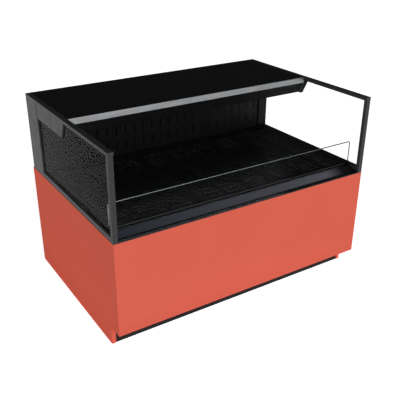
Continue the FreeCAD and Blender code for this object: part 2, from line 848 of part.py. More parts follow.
def makeUpper():
    save("back_panel", backPanel())
    save("rear_insulation", rearInsulation())
    save("rear_outer_skin", rearOuterSkin())
    save("canopy_top", canopyTop())
    save("canopy_fascia", canopyFascia())
    save("canopy_nose", canopyNose())
    save("canopy_insulation", canopyInsulation())
    save("air_discharge_honeycomb", airDischarge())
    save("led_housing", ledHousing())
    save("led_diffuser", ledDiffuser())
    save("canopy_liner", canopyLiner())
    save("front_posts", pair(frontPost()))
    save("top_rails", pair(topRail()))
    save("bottom_rails", pair(bottomRail()))
    save("rear_columns", pair(rearColumn()))
    save("canopy_end_caps", pair(canopyEndCap()))
    glass = endGlass()
    save("right_end_glass", glass)
    save("left_end_glass", mirrored(glass))
    save("glazing_gaskets", pair(glazingGasket()))


def makeMachine():
    save("compressor", compressor())
    save("condenser_coil", condenserCoil())
    save("fan_shroud", fanShroud())
    save("condenser_fan_motor", condenserFanMotor())
    save("condenser_fan_blade", fanBlade(fanX, fanZ, 184, 26, 106, 5, 258, 5))
    save("refrigerant_lines", refrigerantLines())
    save("evaporator_coil", evaporatorCoil())
    save("evaporator_fan_motors", evaporatorFanMotors())
    for place, x in evaporatorFans.items():
        save("evaporator_fan_blade_" + place, fanBlade(x, evaporatorFanZ, 622, 15, 46, 3, 668, 4))
    save("condensate_pan", condensatePan())
    save("drain_tube", drainTube())


def makeRear():
    save("service_panel", servicePanel())
    save("service_panel_screws", servicePanelScrews())
    save("control_box", controlBox())
    for name, x in switchPlaces.items():
        save(name + "_switch", rockerSwitch(x))
    save("cord_gland", cordGland())


makeBase()
makeTub()
makeUpper()
makeMachine()
makeRear()

for name, shape in nodes.items():
    shape.exportStep("parts/" + name + ".step")
    print(name, len(shape.Solids), "solids", round(shape.Volume / 1000.0, 1), "cm3", shape.isValid())
print(len(nodes), "nodes")
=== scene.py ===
import json
import math

import bmesh
import bpy
from mathutils import Matrix, Vector


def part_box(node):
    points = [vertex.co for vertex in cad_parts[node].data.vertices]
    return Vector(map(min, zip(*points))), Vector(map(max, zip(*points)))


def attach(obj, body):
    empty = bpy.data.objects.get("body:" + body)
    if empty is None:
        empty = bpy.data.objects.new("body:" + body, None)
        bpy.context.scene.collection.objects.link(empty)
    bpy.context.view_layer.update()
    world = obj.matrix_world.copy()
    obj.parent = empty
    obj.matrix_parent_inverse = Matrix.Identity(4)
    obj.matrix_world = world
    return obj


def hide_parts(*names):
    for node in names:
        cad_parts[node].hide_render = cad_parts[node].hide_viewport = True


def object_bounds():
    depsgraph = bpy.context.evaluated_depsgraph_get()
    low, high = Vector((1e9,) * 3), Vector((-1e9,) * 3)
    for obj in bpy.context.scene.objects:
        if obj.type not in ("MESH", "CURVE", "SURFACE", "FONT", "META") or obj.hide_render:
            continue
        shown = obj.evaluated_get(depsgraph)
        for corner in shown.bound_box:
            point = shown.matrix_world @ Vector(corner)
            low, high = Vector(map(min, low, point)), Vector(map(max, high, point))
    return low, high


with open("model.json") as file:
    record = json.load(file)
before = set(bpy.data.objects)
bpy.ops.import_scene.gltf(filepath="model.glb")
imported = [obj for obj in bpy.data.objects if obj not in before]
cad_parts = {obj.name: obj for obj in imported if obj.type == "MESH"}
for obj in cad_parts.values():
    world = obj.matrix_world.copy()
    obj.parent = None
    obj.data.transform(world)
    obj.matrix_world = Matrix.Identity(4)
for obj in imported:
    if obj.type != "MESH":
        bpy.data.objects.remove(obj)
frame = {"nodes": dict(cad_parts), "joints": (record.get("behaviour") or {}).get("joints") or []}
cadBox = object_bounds()
nodes = frame["nodes"]
joints = {joint["name"]: joint for joint in frame["joints"]}
mm = 0.001
near = 0.1 * mm     # two places closer than this count as one
print("frame loaded:", len(nodes), "nodes")


def linear(hexText, alpha=1.0):
    channels = [int(hexText[i:i + 2], 16) / 255 for i in (1, 3, 5)]
    curved = [c / 12.92 if c <= 0.04045 else ((c + 0.055) / 1.055) ** 2.4 for c in channels]
    return (*curved, alpha)


def addNode(material, kind, settings=None, links=None):
    tree = material.node_tree
    node = tree.nodes.new(kind)
    for key, value in (settings or {}).items():
        if isinstance(key, str) and hasattr(node, key):
            setattr(node, key, value)
        else:
            node.inputs[key].default_value = value
    for key, source in (links or {}).items():
        tree.links.new(source, node.inputs[key])
    return node.outputs


def startMaterial(name, settings):
    material = bpy.data.materials.new(name)
    material.use_nodes = True
    shader = material.node_tree.nodes["Principled BSDF"]
    for key, value in settings.items():
        shader.inputs[key].default_value = value
    place = addNode(material, "ShaderNodeTexCoord")["Object"]
    return material, shader, place


def plug(material, shader, sources):
    for key, source in sources.items():
        material.node_tree.links.new(source, shader.inputs[key])
    return material


# how far a finish's roughness strays below and above its own value
stray = {"painted": (-0.05, 0.08), "worked": (-0.06, 0.08), "bandFinish": (0.0, 0.12)}


def boardLaminate(look):
    # High-pressure laminate pressed on board: one even coral, a satin skin that softens every reflection.
    material, shader, place = startMaterial(look["name"], {"IOR": 1.5, "Specular IOR Level": look["gloss"]})
    cloud = addNode(material, "ShaderNodeTexNoise",
                    {"Scale": 1 / look["cloud"], "Detail": 3.0}, {"Vector": place})["Fac"]
    tone = addNode(material, "ShaderNodeMixRGB",
                   {"Color1": linear(look["dark"]), "Color2": linear(look["light"])},
                   {"Fac": cloud})["Color"]
    # the printed paper's fibres are about 0.5 mm, drawn coarser so that they show
    fibre = addNode(material, "ShaderNodeTexNoise",
                    {"Scale": 1 / look["fibre"], "Detail": 4.0, "Roughness": 0.6}, {"Vector": place})["Fac"]
    fleck = addNode(material, "ShaderNodeMapRange",
                    {"From Min": 0.35, "From Max": 0.65, "To Min": 0.0, "To Max": look["fleck"]},
                    {"Value": fibre})["Result"]
    printed = addNode(material, "ShaderNodeMixRGB", {"Color2": linear(look["deep"])},
                      {"Fac": fleck, "Color1": tone})["Color"]
    # mop marks: faint, wide and upright, strongest near the floor
    height = addNode(material, "ShaderNodeSeparateXYZ", {}, {"Vector": place})["Z"]
    low = addNode(material, "ShaderNodeMapRange",
                  {"From Min": 0.0, "From Max": look["mopHeight"], "To Min": look["mop"], "To Max": 0.0},
                  {"Value": height})["Result"]
    drawn = addNode(material, "ShaderNodeMapping", {"Scale": (1.0, 1.0, 0.2)}, {"Vector": place})["Vector"]
    streak = addNode(material, "ShaderNodeTexNoise",
                     {"Scale": 1 / look["streak"], "Detail": 5.0}, {"Vector": drawn})["Fac"]
    mopped = addNode(material, "ShaderNodeMath", {"operation": "MULTIPLY"}, {0: streak, 1: low})["Value"]
    colour = addNode(material, "ShaderNodeMixRGB", {"Color2": linear(look["deep"])},
                     {"Fac": mopped, "Color1": printed})["Color"]
    dull = [look["rough"] + step for step in stray["painted"]]
    sheen = addNode(material, "ShaderNodeMapRange",
                    {"To Min": dull[0], "To Max": dull[1]}, {"Value": streak})["Result"]
    pressed = addNode(material, "ShaderNodeBump", {"Strength": 0.25, "Distance": 0.03 * mm},
                      {"Height": fibre})["Normal"]
    return plug(material, shader, {"Base Color": colour, "Roughness": sheen, "Normal": pressed})


def bakedPaint(look):
    # Powder or stoved paint on sheet steel: a fine orange peel breaks the gloss, broad patches dull it.
    material, shader, place = startMaterial(look["name"], {"IOR": 1.5, "Specular IOR Level": look["gloss"]})
    cloud = addNode(material, "ShaderNodeTexNoise",
                    {"Scale": 1 / look["cloud"], "Detail": 4.0}, {"Vector": place})["Fac"]
    colour = addNode(material, "ShaderNodeMixRGB",
                     {"Color1": linear(look["dark"]), "Color2": linear(look["light"])},
                     {"Fac": cloud})["Color"]
    peel = addNode(material, "ShaderNodeTexNoise",
                   {"Scale": 1 / look["peel"], "Detail": 3.0}, {"Vector": place})["Fac"]
    patch = addNode(material, "ShaderNodeTexNoise",
                    {"Scale": 1 / look["patch"], "Detail": 5.0}, {"Vector": place})["Fac"]
    dull = [look["rough"] + step for step in stray["painted"]]
    sheen = addNode(material, "ShaderNodeMapRange",
                    {"From Min": 0.3, "From Max": 0.7, "To Min": dull[0], "To Max": dull[1]},
                    {"Value": patch})["Result"]
    skin = addNode(material, "ShaderNodeBump", {"Strength": look["relief"], "Distance": 0.06 * mm},
                   {"Height": peel})["Normal"]
    return plug(material, shader, {"Base Color": colour, "Roughness": sheen, "Normal": skin})


def enamelWithPaintedLight(look):
    # Satin enamel with painted light: a painted reflection brightens it towards the right, broken by fine
    # wiping lines along it, and painted shade darkens its right-hand end.
    material, shader, place = startMaterial(look["name"], {"IOR": 1.5, "Specular IOR Level": look["gloss"]})
    along = addNode(material, "ShaderNodeSeparateXYZ", {}, {"Vector": place})["X"]
    # painted reflection: a lighter colour ramps in from left to right, broken by the wiping lines
    reflectionRamp = addNode(material, "ShaderNodeMapRange",
                     {"From Min": look["paintedReflectionRange"][0], "From Max": look["paintedReflectionRange"][1]},
                     {"Value": along})["Result"]
    drawn = addNode(material, "ShaderNodeMapping", {"Scale": (0.01, 1.0, 1.0)}, {"Vector": place})["Vector"]
    lines = addNode(material, "ShaderNodeTexNoise", {"Scale": 1 / look["wipe"], "Detail": 2.0},
                    {"Vector": drawn})["Fac"]
    wiped = addNode(material, "ShaderNodeMapRange",
                    {"From Min": 0.3, "From Max": 0.7, "To Min": 1 - look["wipeDepth"], "To Max": 1.0},
                    {"Value": lines})["Result"]
    paintedReflection = addNode(material, "ShaderNodeMath", {"operation": "MULTIPLY"}, {0: reflectionRamp, 1: wiped})["Value"]
    withPaintedReflection = addNode(material, "ShaderNodeMixRGB",
                     {"Color1": linear(look["paint"]), "Color2": linear(look["paintedReflection"])},
                     {"Fac": paintedReflection})["Color"]
    # painted shade: the right-hand end turns dark, as under the end frame
    shadeRamp = addNode(material, "ShaderNodeMapRange",
                    {"From Min": look["paintedShadeRange"][0], "From Max": look["paintedShadeRange"][1]},
                    {"Value": along})["Result"]
    colour = addNode(material, "ShaderNodeMixRGB", {"Color2": linear(look["paintedShade"])},
                     {"Fac": shadeRamp, "Color1": withPaintedReflection})["Color"]
    dull = [look["rough"] + step for step in stray["bandFinish"]]
    sheen = addNode(material, "ShaderNodeMapRange",
                    {"To Min": dull[0], "To Max": dull[1]}, {"Value": paintedReflection})["Result"]
    return plug(material, shader, {"Base Color": colour, "Roughness": sheen})


def drawnMetal(look):
    # Metal worked along one direction, by brush, die or roll: fine lines one way, broad soft tone across.
    material, shader, place = startMaterial(look["name"], {"Metallic": 1.0})
    along = addNode(material, "ShaderNodeMapping", {"Scale": look["along"]}, {"Vector": place})["Vector"]
    lines = addNode(material, "ShaderNodeTexNoise",
                    {"Scale": 1 / look["line"], "Detail": 3.0, "Roughness": 0.6}, {"Vector": along})["Fac"]
    contrast = addNode(material, "ShaderNodeMapRange", {"From Min": 0.3, "From Max": 0.7},
                       {"Value": lines})["Result"]
    brushed = addNode(material, "ShaderNodeMixRGB",
                      {"Color1": linear(look["dark"]), "Color2": linear(look["light"])},
                      {"Fac": contrast})["Color"]
    cloud = addNode(material, "ShaderNodeTexNoise",
                    {"Scale": 1 / look["cloud"], "Detail": 4.0}, {"Vector": place})["Fac"]
    tarnished = addNode(material, "ShaderNodeMapRange",
                        {"From Min": 0.4, "From Max": 0.75, "To Min": 0.0, "To Max": look["tarnish"]},
                        {"Value": cloud})["Result"]
    colour = addNode(material, "ShaderNodeMixRGB", {"Color2": linear(look["stain"])},
                     {"Fac": tarnished, "Color1": brushed})["Color"]
    dull = [look["rough"] + step for step in stray["worked"]]
    sheen = addNode(material, "ShaderNodeMapRange",
                    {"To Min": dull[0], "To Max": dull[1]}, {"Value": contrast})["Result"]
    scored = addNode(material, "ShaderNodeBump", {"Strength": 0.35, "Distance": 0.015 * mm},
                     {"Height": lines})["Normal"]
    return plug(material, shader, {"Base Color": colour, "Roughness": sheen, "Normal": scored})


def spangledZinc(look):
    # Hot-dip galvanised sheet: zinc crystals of finger-nail size, each a slightly different grey and gloss.
    material, shader, place = startMaterial(look["name"], {"Metallic": 0.9})
    crystals = addNode(material, "ShaderNodeTexVoronoi", {"Scale": 1 / look["spangle"]},
                       {"Vector": place})["Color"]
    parts = addNode(material, "ShaderNodeSeparateColor", {}, {"Color": crystals})
    colour = addNode(material, "ShaderNodeMixRGB",
                     {"Color1": linear(look["dark"]), "Color2": linear(look["light"])},
                     {"Fac": parts["Red"]})["Color"]
    sheen = addNode(material, "ShaderNodeMapRange",
                    {"To Min": look["sheen"][0], "To Max": look["sheen"][1]},
                    {"Value": parts["Green"]})["Result"]
    fine = addNode(material, "ShaderNodeTexNoise", {"Scale": 1 / look["grain"], "Detail": 4.0},
                   {"Vector": place})["Fac"]
    skin = addNode(material, "ShaderNodeBump", {"Strength": 0.4, "Distance": 0.03 * mm},
                   {"Height": fine})["Normal"]
    return plug(material, shader, {"Base Color": colour, "Roughness": sheen, "Normal": skin})


def mouldedPolymer(look):
    # Moulded or extruded polymer: a fine tool grain kills the shine, slow flow marks vary it.
    material, shader, place = startMaterial(look["name"], {"IOR": 1.5, "Specular IOR Level": look["gloss"]})
    grain = addNode(material, "ShaderNodeTexNoise", {"Scale": 1 / look["grain"], "Detail": 3.0},
                    {"Vector": place})["Fac"]
    flow = addNode(material, "ShaderNodeTexNoise", {"Scale": 1 / look["flow"], "Detail": 3.0},
                   {"Vector": place})["Fac"]
    colour = addNode(material, "ShaderNodeMixRGB",
                     {"Color1": linear(look["dark"]), "Color2": linear(look["light"])},
                     {"Fac": flow})["Color"]
    dull = [look["rough"] + step for step in stray["worked"]]
    sheen = addNode(material, "ShaderNodeMapRange",
                    {"To Min": dull[0], "To Max": dull[1]}, {"Value": flow})["Result"]
    skin = addNode(material, "ShaderNodeBump", {"Strength": 0.5, "Distance": look["relief"]},
                   {"Height": grain})["Normal"]
    return plug(material, shader, {"Base Color": colour, "Roughness": sheen, "Normal": skin})


def cellFoam(look):
    # Rigid polyurethane foam, sawn: straw-coloured, with broken cells about 2 mm across.
    material, shader, place = startMaterial(look["name"], {"Roughness": 0.9})
    cells = addNode(material, "ShaderNodeTexVoronoi", {"Scale": 1 / look["cell"]},
                    {"Vector": place})["Distance"]
    cloud = addNode(material, "ShaderNodeTexNoise", {"Scale": 1 / look["cloud"], "Detail": 4.0},
                    {"Vector": place})["Fac"]
    colour = addNode(material, "ShaderNodeMixRGB",
                     {"Color1": linear(look["dark"]), "Color2": linear(look["light"])},
                     {"Fac": cloud})["Color"]
    pits = addNode(material, "ShaderNodeBump", {"Strength": 0.6, "Distance": look["pit"]},
                   {"Height": cells})["Normal"]
    return plug(material, shader, {"Base Color": colour, "Normal": pits})


def temperedGlass(look):
    # Coated display glass: all but colourless, tinted in slow clouds, with almost no mirror image.
    # Plain glass has an index of 1.5. The lower value stands for the coating and isn't a measured one.
    material, shader, place = startMaterial(look["name"], {
        "IOR": look["index"], "Roughness": 0.0, "Transmission Weight": 1.0})
    haze = addNode(material, "ShaderNodeTexNoise", {"Scale": 1 / look["haze"], "Detail": 4.0},
                   {"Vector": place})["Fac"]
    tint = addNode(material, "ShaderNodeMixRGB",
                   {"Color1": linear(look["clear"]), "Color2": linear(look["tint"])},
                   {"Fac": haze})["Color"]
    return plug(material, shader, {"Base Color": tint})


def opalAcrylic():
    # Opal acrylic over a row of lamps: cool white light, a little brighter over each lamp.
    material, shader, place = startMaterial("opalAcrylic", {"IOR": 1.49, "Roughness": 0.35,
                                                           "Emission Strength": lamp["strength"]})
    along = addNode(material, "ShaderNodeSeparateXYZ", {}, {"Vector": place})["X"]
    turns = addNode(material, "ShaderNodeMath", {"operation": "MULTIPLY", 1: 2 * math.pi / lamp["pitch"]},
                    {0: along})["Value"]
    wave = addNode(material, "ShaderNodeMath", {"operation": "SINE"}, {0: turns})["Value"]
    over = addNode(material, "ShaderNodeMapRange", {"From Min": -1.0}, {"Value": wave})["Result"]
    colour = addNode(material, "ShaderNodeMixRGB",
                     {"Color1": linear(lamp["between"]), "Color2": linear(lamp["over"])},
                     {"Fac": over})["Color"]
    return plug(material, shader, {"Base Color": colour, "Emission Color": colour})


lamp = {"strength": 3.0, "pitch": 24 * mm, "between": "#e9f0fb", "over": "#ffffff"}

print("materials")
coral = boardLaminate({
    "name": "coralLaminate", "dark": "#d3604f", "light": "#d96654", "deep": "#b94a32", "gloss": 0.0,
    "rough": 0.42, "cloud": 180 * mm, "fibre": 3.5 * mm, "fleck": 0.10,
    "mop": 0.35, "mopHeight": 0.14, "streak": 40 * mm})
canopyPaint = bakedPaint({
    "name": "canopyPowderCoat", "dark": "#0c0c0b", "light": "#131312", "gloss": 0.25, "rough": 0.5,
    "cloud": 90 * mm, "peel": 1.6 * mm, "patch": 40 * mm, "relief": 0.4})
nosePaint = bakedPaint({
    "name": "noseTexturedCoat", "dark": "#080808", "light": "#131313", "gloss": 0.06, "rough": 0.6,
    "cloud": 6 * mm, "peel": 2.4 * mm, "patch": 30 * mm, "relief": 0.7})
deckPaint = bakedPaint({
    "name": "deckPowderCoat", "dark": "#050606", "light": "#0a0b0b", "gloss": 0.1, "rough": 0.36,
    "cloud": 70 * mm, "peel": 1.6 * mm, "patch": 24 * mm, "relief": 0.1})
kickPaint = bakedPaint({
    "name": "kickPowderCoat", "dark": "#232324", "light": "#29292a", "gloss": 0.03, "rough": 0.6,
    "cloud": 60 * mm, "peel": 1.6 * mm, "patch": 30 * mm, "relief": 0.3})
# the band's lighter colour is a painted reflection, and its darkest colour is painted shade at the right-hand
# end
bandPaint = enamelWithPaintedLight({
    "name": "bandEnamelPaintedLight", "paint": "#40444f", "paintedReflection": "#7c7d86", "paintedShade": "#121315",
    "paintedReflectionRange": (-0.58, 0.42), "paintedShadeRange": (0.44, 0.53), "gloss": 0.4, "rough": 0.26,
    "wipe": 2.5 * mm, "wipeDepth": 0.35})
framePaint = bakedPaint({
    "name": "graphiteFramePaint", "dark": "#3a3b3c", "light": "#404142", "gloss": 0.05, "rough": 0.32,
    "cloud": 120 * mm, "peel": 1.4 * mm, "patch": 50 * mm, "relief": 0.25})
ledgePaint = bakedPaint({
    "name": "ledgeSatinEnamel", "dark": "#0e1116", "light": "#15181d", "gloss": 0.5, "rough": 0.22,
    "cloud": 140 * mm, "peel": 3 * mm, "patch": 60 * mm, "relief": 0.15})
linerPaint = bakedPaint({
    "name": "whiteLinerEnamel", "dark": "#dfe2e2", "light": "#ecefef", "gloss": 0.5, "rough": 0.3,
    "cloud": 80 * mm, "peel": 2.5 * mm, "patch": 40 * mm, "relief": 0.3})
machineEnamel = bakedPaint({
    "name": "machineEnamel", "dark": "#0d0e10", "light": "#17181b", "gloss": 0.5, "rough": 0.3,
    "cloud": 30 * mm, "peel": 4 * mm, "patch": 20 * mm, "relief": 0.4})
fasciaMetal = drawnMetal({
    "name": "brushedFasciaAluminium", "dark": "#77797b", "light": "#9fa1a3", "stain": "#6d6f72",
    "tarnish": 0.4, "rough": 0.38, "line": 1.2 * mm, "along": (0.012, 1.0, 1.0), "cloud": 160 * mm})
channelMetal = drawnMetal({
    "name": "anodisedChannel", "dark": "#8d9093", "light": "#b2b5b8", "stain": "#85888b", "tarnish": 0.3,
    "rough": 0.32, "line": 1.2 * mm, "along": (0.012, 1.0, 1.0), "cloud": 120 * mm})
lipMetal = drawnMetal({
    "name": "graphiteLip", "dark": "#3a3b3d", "light": "#505154", "stain": "#313234", "tarnish": 0.3,
    "rough": 0.38, "line": 1.2 * mm, "along": (0.012, 1.0, 1.0), "cloud": 120 * mm})
chrome = drawnMetal({
    "name": "chromedRod", "dark": "#5f6665", "light": "#767d7b", "stain": "#585f5e", "tarnish": 0.3,
    "rough": 0.22, "line": 2 * mm, "along": (0.1, 1.0, 1.0), "cloud": 60 * mm})
finMetal = drawnMetal({
    "name": "millAluminiumFins", "dark": "#a4a7a9", "light": "#cbced0", "stain": "#8c8f91", "tarnish": 0.5,
    "rough": 0.34, "line": 1.5 * mm, "along": (1.0, 1.0, 0.15), "cloud": 30 * mm})
copperTube = drawnMetal({
    "name": "drawnCopper", "dark": "#a85f3b", "light": "#c87d54", "stain": "#6d3a26", "tarnish": 0.8,
    "rough": 0.3, "line": 1.5 * mm, "along": (0.2, 0.2, 1.0), "cloud": 25 * mm})
zincPlate = drawnMetal({
    "name": "zincPlatedSteel", "dark": "#8f959b", "light": "#b7bcc2", "stain": "#7b7f80", "tarnish": 0.5,
    "rough": 0.32, "line": 0.8 * mm, "along": (1.0, 1.0, 0.2), "cloud": 9 * mm})
zincSheet = spangledZinc({
    "name": "galvanisedSheet", "dark": "#85898c", "light": "#b4b8ba", "spangle": 14 * mm,
    "grain": 2.5 * mm, "sheen": (0.36, 0.55)})
foamFace = cellFoam({
    "name": "sawnPolyurethaneFoam", "dark": "#d3bd84", "light": "#eaddb0",
    "cell": 2.2 * mm, "cloud": 45 * mm, "pit": 0.5 * mm})
glass = temperedGlass({
    "name": "coatedTemperedGlass", "index": 1.035, "clear": "#ffffff", "tint": "#f9fdfb", "haze": 140 * mm})
rubber = mouldedPolymer({
    "name": "extrudedRubber", "dark": "#111111", "light": "#1b1b1b", "gloss": 0.3, "rough": 0.7,
    "grain": 1.2 * mm, "flow": 20 * mm, "relief": 0.05 * mm})
nylon = mouldedPolymer({
    "name": "mouldedNylon", "dark": "#0d0d0e", "light": "#171718", "gloss": 0.4, "rough": 0.5,
    "grain": 0.9 * mm, "flow": 24 * mm, "relief": 0.05 * mm})
acrylic = opalAcrylic()

finishes = {
    coral: ["front_panel", "left_side_panel", "right_side_panel"],
    canopyPaint: ["canopy_top", "canopy_liner", "rear_outer_skin"],
    kickPaint: ["toe_kick"],
    nosePaint: ["canopy_nose"],
    deckPaint: ["deck_pan_left", "deck_pan_middle", "deck_pan_right", "deck_front_rail", "back_panel",
                "base_trim"],
    ledgePaint: ["front_ledge"],
    bandPaint: ["return_air_grille"],
    framePaint: ["front_posts", "top_rails", "bottom_rails", "rear_columns", "canopy_end_caps"],
    fasciaMetal: ["canopy_fascia"],
    channelMetal: ["led_housing"],
    zincSheet: ["base_tray", "frame_posts", "tub_outer", "deck_bearers", "fan_shroud",
                "condensate_pan", "service_panel", "control_box"],
    foamFace: ["tub_insulation", "rear_insulation", "canopy_insulation"],
    linerPaint: ["tub_liner"],
    glass: ["left_end_glass", "right_end_glass"],
    rubber: ["glazing_gaskets"],
    chrome: ["product_guard"],
    acrylic: ["led_diffuser"],
    machineEnamel: ["compressor", "condenser_fan_motor", "evaporator_fan_motors"],
    finMetal: ["condenser_coil", "evaporator_coil"],
    copperTube: ["refrigerant_lines"],
    nylon: ["air_discharge_honeycomb", "condenser_fan_blade", "evaporator_fan_blade_left",
            "evaporator_fan_blade_right", "drain_tube", "power_switch", "light_switch", "cord_gland"],
    zincPlate: ["service_panel_screws", "foot_front_left", "foot_front_right", "foot_rear_left",
                "foot_rear_right"],
}


def giveFinishes():
    for material, names in finishes.items():
        for name in names:
            if not nodes[name].material_slots:
                nodes[name].data.materials.append(material)
            for slot in nodes[name].material_slots:
                slot.material = material
    for name in ("left_end_glass", "right_end_glass"):
        nodes[name].visible_shadow = False  # clear panes pass the lamps' light without a dark shadow


giveFinishes()


def clearSelection():
    if bpy.context.object and bpy.context.object.mode != "OBJECT":
        bpy.ops.object.mode_set(mode="OBJECT")
    bpy.ops.object.select_all(action="DESELECT")


def settle(name):
    # size, turn and place go into the mesh, so that the piece ends at the origin
    piece = bpy.context.object
    piece.name = name
    bpy.ops.object.transform_apply(location=True, rotation=True, scale=True)
    return piece


def addBox(name, low, high):
    clearSelection()
    low, high = Vector(low), Vector(high)
    bpy.ops.mesh.primitive_cube_add(size=1, location=(low + high) / 2, scale=high - low)
    return settle(name)


def addRound(name, radius, start, end, sides=32):
    clearSelection()
    start, end = Vector(start), Vector(end)
    turn = (end - start).to_track_quat("Z", "Y").to_euler()
    bpy.ops.mesh.primitive_cylinder_add(vertices=sides, radius=radius, depth=(end - start).length,
                                        location=(start + end) / 2, rotation=turn)
    return settle(name)


def startEdit(piece, kind):
    bpy.context.view_layer.objects.active = piece
    bpy.ops.object.mode_set(mode="EDIT")
    bpy.ops.mesh.select_mode(type=kind)
    bpy.ops.mesh.select_all(action="DESELECT")
    return bmesh.from_edit_mesh(piece.data)


def pickFaces(piece, chosen):
    shape = startEdit(piece, "FACE")
    for face in shape.faces:
        face.select_set(chosen(face.calc_center_median(), face.normal))
    bmesh.update_edit_mesh(piece.data)


def pickEdges(piece, chosen):
    shape = startEdit(piece, "EDGE")
    for edge in shape.edges:
        start, end = (corner.co for corner in edge.verts)
        edge.select_set(chosen((start + end) / 2, (end - start).normalized()))
    bmesh.update_edit_mesh(piece.data)


def bevelEdges(piece, chosen, width, segments):
    pickEdges(piece, chosen)
    bpy.ops.mesh.bevel(offset=width, segments=segments)
    bpy.ops.object.mode_set(mode="OBJECT")


def pickAll(piece):
    startEdit(piece, "FACE")
    bpy.ops.mesh.select_all(action="SELECT")


def applyModifier(piece, kind, **settings):
    clearSelection()
    bpy.context.view_layer.objects.active = piece
    modifier = piece.modifiers.new(kind.title(), kind)
    for key, value in settings.items():
        setattr(modifier, key, value)
    bpy.ops.object.modifier_apply(modifier=modifier.name)


def repeat(piece, count, step):
    applyModifier(piece, "ARRAY", count=count, use_relative_offset=False,
                  use_constant_offset=True, constant_offset_displace=step)


def turnCopies(piece, count, centre, axis):
    # the last copy would lie on the first piece, so the turn stops one short
    pickAll(piece)
    bpy.ops.mesh.spin(steps=count - 1, dupli=True, angle=2 * math.pi * (count - 1) / count,
                      center=centre, axis=axis)
    bpy.ops.object.mode_set(mode="OBJECT")


def joinPieces(name, pieces):
    clearSelection()
    for piece in pieces:
        piece.select_set(True)
    bpy.context.view_layer.objects.active = pieces[0]
    bpy.ops.object.join()
    pieces[0].name = name
    return pieces[0]


def finishPiece(piece, body, slot, material, *standsFor):
    clearSelection()
    piece.select_set(True)
    bpy.context.view_layer.objects.active = piece
    bpy.ops.object.shade_smooth_by_angle(angle=math.radians(35))
    piece.data.materials.clear()
    piece.data.materials.append(material)
    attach(piece, body)
    if standsFor:
        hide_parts(*standsFor)


honeycomb = {
    "cell": 9 * mm,         # across flats
    "wall": 0.5 * mm,
    "rim": 1.5 * mm,
    "weldWithin": 0.05 * mm,
}


def makeHoneycomb():
    low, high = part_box("air_discharge_honeycomb")
    cell = honeycomb["cell"]
    corner = cell / math.sqrt(3)
    clearSelection()
    bpy.ops.mesh.primitive_circle_add(vertices=6, radius=corner, location=low)
    comb = settle("dischargeHoneycomb")
    pickAll(comb)
    bpy.ops.mesh.select_mode(type="EDGE")
    bpy.ops.mesh.select_all(action="SELECT")
    bpy.ops.mesh.extrude_region_move(TRANSFORM_OT_translate={"value": (0, 0, high.z - low.z)})
    bpy.ops.mesh.select_all(action="SELECT")
    bpy.ops.mesh.duplicate_move(TRANSFORM_OT_translate={"value": (cell / 2, 1.5 * corner, 0)})
    bpy.ops.object.mode_set(mode="OBJECT")
    repeat(comb, math.ceil((high.x - low.x) / cell) + 1, (cell, 0, 0))
    repeat(comb, math.ceil((high.y - low.y) / (3 * corner)) + 1, (0, 3 * corner, 0))
    pickAll(comb)
    bpy.ops.mesh.remove_doubles(threshold=honeycomb["weldWithin"])
    for place, outward in ((low, (-1, 0, 0)), (low, (0, -1, 0)), (high, (1, 0, 0)), (high, (0, 1, 0))):
        bpy.ops.mesh.select_all(action="SELECT")
        bpy.ops.mesh.bisect(plane_co=place, plane_no=outward, clear_outer=True)
    bpy.ops.object.mode_set(mode="OBJECT")
    applyModifier(comb, "SOLIDIFY", thickness=honeycomb["wall"], offset=0)
    rim = addBox("honeycombRim", low, high)
    pickFaces(rim, lambda middle, normal: abs(normal.z) > 0.5)
    bpy.ops.mesh.delete(type="FACE")
    bpy.ops.object.mode_set(mode="OBJECT")
    applyModifier(rim, "SOLIDIFY", thickness=honeycomb["rim"], offset=-1)
    comb = joinPieces("dischargeHoneycomb", [comb, rim])
    finishPiece(comb, "cabinet", "black_nylon", nylon, "air_discharge_honeycomb")


serviceLouvres = {
    "name": "serviceLouvres", "body": "service_panel", "slot": "galvanised_steel", "outward": 1,
    "columns": 6, "rows": 11,
    "corner": (-502 * mm, 79 * mm),     # first hood's left end and lower edge
    "pitch": (128 * mm, 20 * mm),
    "length": 104 * mm, "height": 12 * mm, "proud": 5 * mm, "sheet": 0.9 * mm,
    "curl": 0.85,       # of the hood's height off the sheet
}
kickLouvres = {
    "name": "kickLouvres", "body": "toe_kick", "slot": "black_powder_coat", "outward": -1,
    "columns": 10, "rows": 5,
    "corner": (-573 * mm, 15.5 * mm),
    "pitch": (116 * mm, 13 * mm),
    "length": 102 * mm, "height": 8 * mm, "proud": 3 * mm, "sheet": 0.8 * mm,
    "curl": 0.85,
}


def makeLouvres(look, material):
    # pressed hoods over the slots, open below, so that water runs off and air passes
    low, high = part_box(look["body"])
    side = look["outward"]
    face = high.y if side > 0 else low.y
    edge = face + side * look["proud"]
    x, z = look["corner"]
    hood = addBox(look["name"], (x, min(face, edge), z),
                  (x + look["length"], max(face, edge), z + look["height"]))
    pickFaces(hood, lambda middle, normal: side * normal.y < -0.5 or normal.z < -0.5)
    bpy.ops.mesh.delete(type="FACE")
    bevelEdges(hood, lambda middle, along: abs(middle.y - edge) < near and middle.z > z + mm,
               look["curl"] * look["proud"], 4)
    applyModifier(hood, "SOLIDIFY", thickness=look["sheet"], offset=-1)
    repeat(hood, look["columns"], (look["pitch"][0], 0, 0))
    repeat(hood, look["rows"], (0, 0, look["pitch"][1]))
    finishPiece(hood, look["body"], look["slot"], material)


